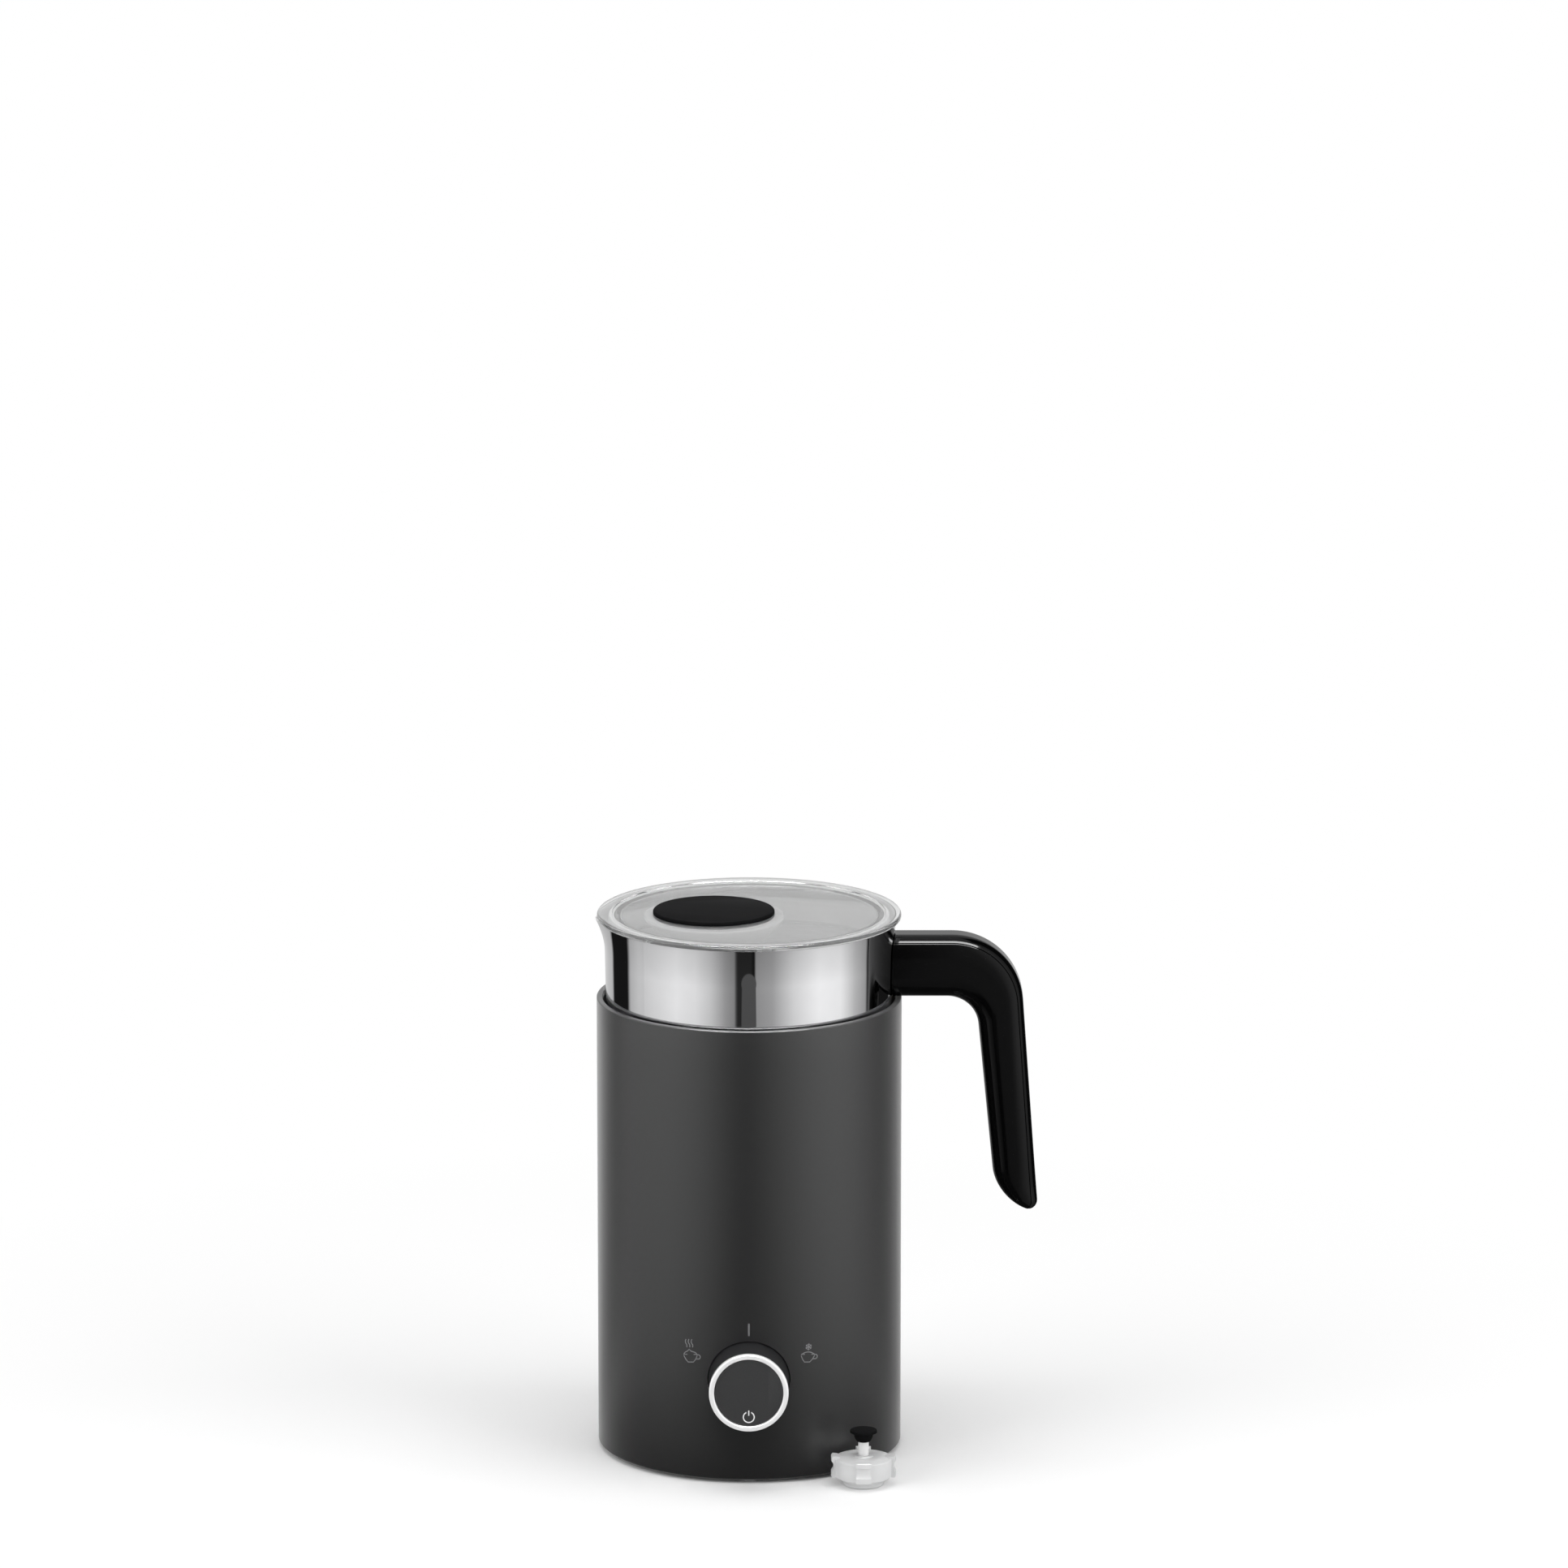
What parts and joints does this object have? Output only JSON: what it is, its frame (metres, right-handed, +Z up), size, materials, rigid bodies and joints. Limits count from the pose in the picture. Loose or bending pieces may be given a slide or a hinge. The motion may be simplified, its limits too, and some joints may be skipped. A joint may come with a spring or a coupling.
{
  "type": "milk frother",
  "caption": "Induction milk frother: round matt base with knob, polished steel jug with side handle, clear lid carrying a magnetic coil whisk, and a spare stirrer.",
  "frame": {"origin": "on the base's vertical axis at table level, in the plane that the foot ring stands on", "axes": "+Z up, knob on the -Y side, jug handle on the +X side, pouring lip on the -X side"},
  "size_m": [0.1685, 0.1335, 0.2096],
  "materials": {
    "housing_paint": "fine satin black powder coat",
    "liner_plastic": "matt black",
    "base_plastic": "matt black",
    "black_rubber": "matt",
    "steel_screw": "zinc plated",
    "copper": "enamelled copper winding",
    "carrier_plastic": "heat resistant natural",
    "ferrite": "dark ceramic ferrite",
    "sensor_metal": "satin",
    "bracket_steel": "plated sheet",
    "motor_steel": "plated can",
    "magnet": "nickel plated",
    "board": "green laminate",
    "parts_plastic": "moulded",
    "knob_plastic": "satin black",
    "button_plastic": "satin black",
    "trim_chrome": "bright chrome",
    "switch_plastic": "moulded",
    "polished_steel": "mirror polished outside, brushed inside",
    "disc_steel": "satin turned",
    "handle_gloss": "high gloss black",
    "clear_plastic": "clear moulded plastic",
    "milky_silicone": "translucent milky silicone",
    "cap_black": "semi-gloss black",
    "holder_white": "white moulded plastic",
    "hub_clear": "milky translucent plastic",
    "axle_white": "white moulded plastic",
    "coil_wire": "bright stainless wire"
  },
  "bodies": {
    "base": {"housing_shell": "housing_paint", "well_liner": "liner_plastic", "well_floor": "liner_plastic", "base_plate": "base_plastic", "foot_ring": "black_rubber", "base_screws": "steel_screw", "cord_gland": "black_rubber", "coil_carrier": "carrier_plastic", "induction_coil": "copper", "ferrite_bars": "ferrite", "temperature_sensor": "sensor_metal", "motor_bracket": "bracket_steel", "drive_motor": "motor_steel", "motor_screws": "steel_screw", "control_board": "board", "power_board": "board", "power_parts": "parts_plastic", "selector_switch": "switch_plastic", "knob_bezel": "base_plastic"},
    "drive_rotor": {"motor_shaft": "steel_screw", "drive_disc": "bracket_steel", "drive_magnets": "magnet"},
    "selector": {"knob_barrel": "knob_plastic", "selector_spindle": "knob_plastic", "knob_trim_ring": "trim_chrome"},
    "start_button": {"button_face": "button_plastic", "button_plunger": "button_plastic"},
    "jug": {"jug_shell": "polished_steel", "jug_base_disc": "disc_steel", "handle_bracket": "bracket_steel", "handle_grip": "handle_gloss", "handle_cover": "handle_gloss", "handle_screw": "steel_screw"},
    "lid": {"lid_cover": "clear_plastic", "lid_seal": "milky_silicone", "lid_cap": "cap_black", "whisk_holder": "holder_white"},
    "whisk_pin": {"whisk_cap": "cap_black", "whisk_axle": "axle_white"},
    "whisk_wheel": {"whisk_hub": "hub_clear", "whisk_magnets": "magnet", "whisk_coil": "coil_wire"},
    "spare_pin": {"spare_cap": "cap_black", "spare_axle": "axle_white"},
    "spare_wheel": {"spare_hub": "hub_clear", "spare_magnets": "magnet"}
  },
  "joints": [
    {"name": "jug_lift", "type": "slide", "parent": "base", "child": "jug", "axis": [0, 0, 1], "range_m": [0, 0.129]},
    {"name": "lid_lift", "type": "slide", "parent": "jug", "child": "lid", "axis": [0, 0, 1], "range_m": [0, 0.1425]},
    {"name": "whisk_unclip", "type": "slide", "parent": "lid", "child": "whisk_pin", "axis": [-1, 0, 0], "range_m": [-0.022, 0]},
    {"name": "whisk_spin", "type": "hinge", "parent": "whisk_pin", "child": "whisk_wheel", "pos_m": [0, 0, 0.09], "axis": [0, 0, 1], "continuous": true},
    {"name": "drive_spin", "type": "hinge", "parent": "base", "child": "drive_rotor", "pos_m": [0, 0, 0.06], "axis": [0, 0, 1], "continuous": true},
    {"name": "selector_turn", "type": "hinge", "parent": "base", "child": "selector", "pos_m": [0, -0.06, 0.04], "axis": [0, -1, 0], "range_deg": [-50, 50]},
    {"name": "button_press", "type": "slide", "parent": "base", "child": "start_button", "axis": [0, -1, 0], "range_m": [-0.0015, 0], "stiffness_N_per_m": 400, "springref_m": 0.0005},
    {"name": "spare_lift", "type": "slide", "parent": "base", "child": "spare_pin", "axis": [0, 0, 1], "range_m": [0, 0.3657]},
    {"name": "spare_spin", "type": "hinge", "parent": "spare_pin", "child": "spare_wheel", "pos_m": [0.0433, -0.058, 0.01], "axis": [0, 0, 1], "continuous": true}
  ],
  "couplings": [
    {"joint": "whisk_spin", "follows": "drive_spin", "ratio": 1}
  ]
}
